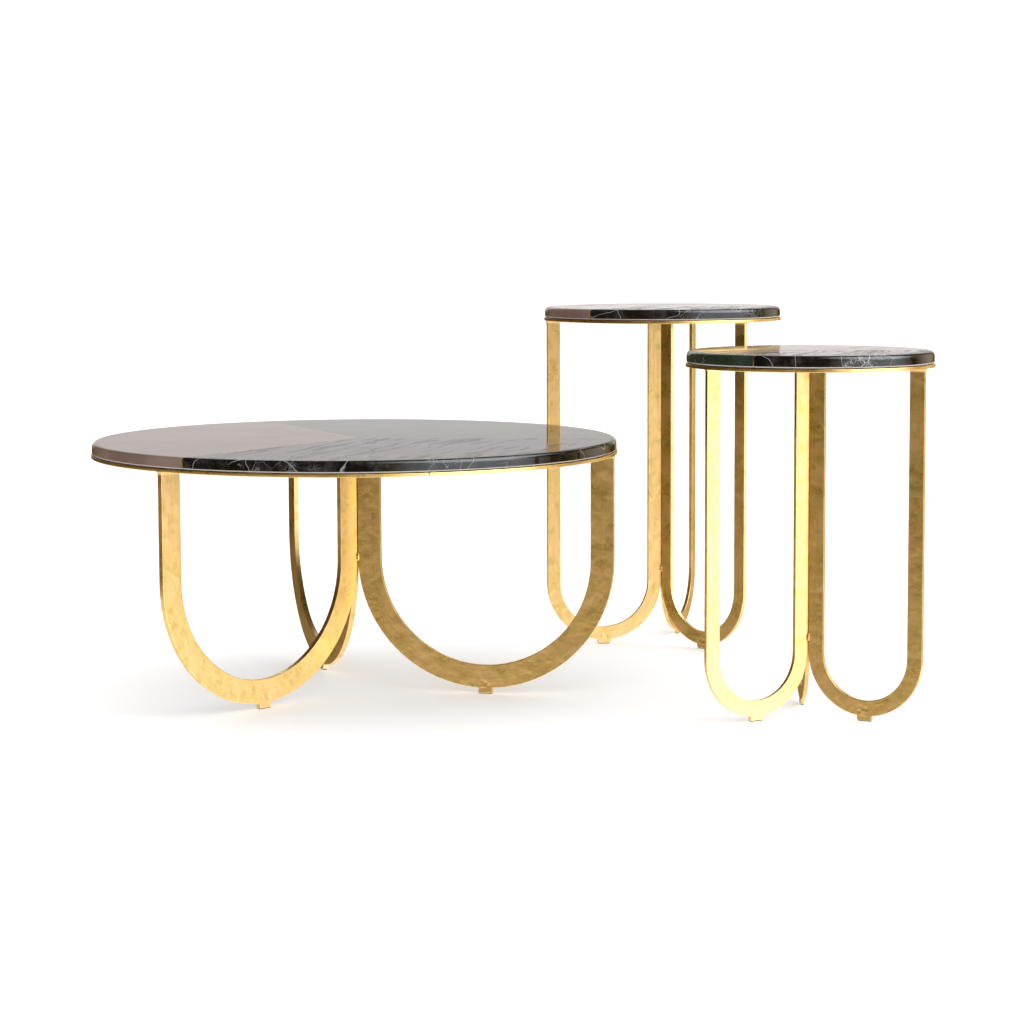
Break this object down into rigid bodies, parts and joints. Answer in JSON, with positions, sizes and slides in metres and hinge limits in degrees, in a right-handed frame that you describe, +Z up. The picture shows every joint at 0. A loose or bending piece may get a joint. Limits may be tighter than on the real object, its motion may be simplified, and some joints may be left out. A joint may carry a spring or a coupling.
{
  "type": "nesting tables",
  "caption": "Nesting set of round tables: stone tops in sectors over a brass hoop, each carried by U-shaped loops of flat brass bar that meet at the centre.",
  "frame": {"origin": "on the floor at the middle of the set's overall box, with the side tables standing apart as at rest", "axes": "+Z up; +X from the coffee table towards the side tables, along which they slide; +Y away from the side that the set is seen from"},
  "size_m": [1.407, 1.1886, 0.65],
  "materials": {
    "stone_taupe": "polished taupe stone",
    "stone_black": "polished black stone with fine white veins",
    "stone_green": "polished dark green stone",
    "brass": "satin, lightly hammered flat bar",
    "backing_board": "black-stained board",
    "screw_steel": "plain zinc-plated steel",
    "glide": "dark felt glide"
  },
  "bodies": {
    "coffee_table": {"coffee_backing_board": "backing_board", "coffee_centre_tie": "brass", "coffee_foot_1": "brass", "coffee_foot_2": "brass", "coffee_foot_3": "brass", "coffee_glide_1": "glide", "coffee_glide_2": "glide", "coffee_glide_3": "glide", "coffee_hoop": "brass", "coffee_loop_1": "brass", "coffee_loop_2": "brass", "coffee_loop_3": "brass", "coffee_screw_1": "screw_steel", "coffee_screw_2": "screw_steel", "coffee_screw_3": "screw_steel", "coffee_seam_strips": "brass", "coffee_spider": "brass", "coffee_stone_black": "stone_black", "coffee_stone_green": "stone_green", "coffee_stone_taupe": "stone_taupe"},
    "tall_table": {"tall_backing_board": "backing_board", "tall_centre_tie": "brass", "tall_foot_1": "brass", "tall_foot_2": "brass", "tall_foot_3": "brass", "tall_glide_1": "glide", "tall_glide_2": "glide", "tall_glide_3": "glide", "tall_hoop": "brass", "tall_loop_1": "brass", "tall_loop_2": "brass", "tall_loop_3": "brass", "tall_screw_1": "screw_steel", "tall_screw_2": "screw_steel", "tall_screw_3": "screw_steel", "tall_seam_strips": "brass", "tall_spider": "brass", "tall_stone_black": "stone_black", "tall_stone_green": "stone_green", "tall_stone_taupe": "stone_taupe"},
    "low_table": {"low_backing_board": "backing_board", "low_centre_tie": "brass", "low_foot_1": "brass", "low_foot_2": "brass", "low_foot_3": "brass", "low_glide_1": "glide", "low_glide_2": "glide", "low_glide_3": "glide", "low_hoop": "brass", "low_loop_1": "brass", "low_loop_2": "brass", "low_loop_3": "brass", "low_screw_1": "screw_steel", "low_screw_2": "screw_steel", "low_screw_3": "screw_steel", "low_seam_strips": "brass", "low_spider": "brass", "low_stone_black": "stone_black", "low_stone_green": "stone_green", "low_stone_taupe": "stone_taupe"}
  },
  "joints": [
    {"name": "tall_table_slide", "type": "slide", "parent": "coffee_table", "child": "tall_table", "axis": [-1, 0, 0], "range_m": [-0.2, 0.38]},
    {"name": "low_table_slide", "type": "slide", "parent": "coffee_table", "child": "low_table", "axis": [-1, 0, 0], "range_m": [-0.2, 0.26]}
  ]
}
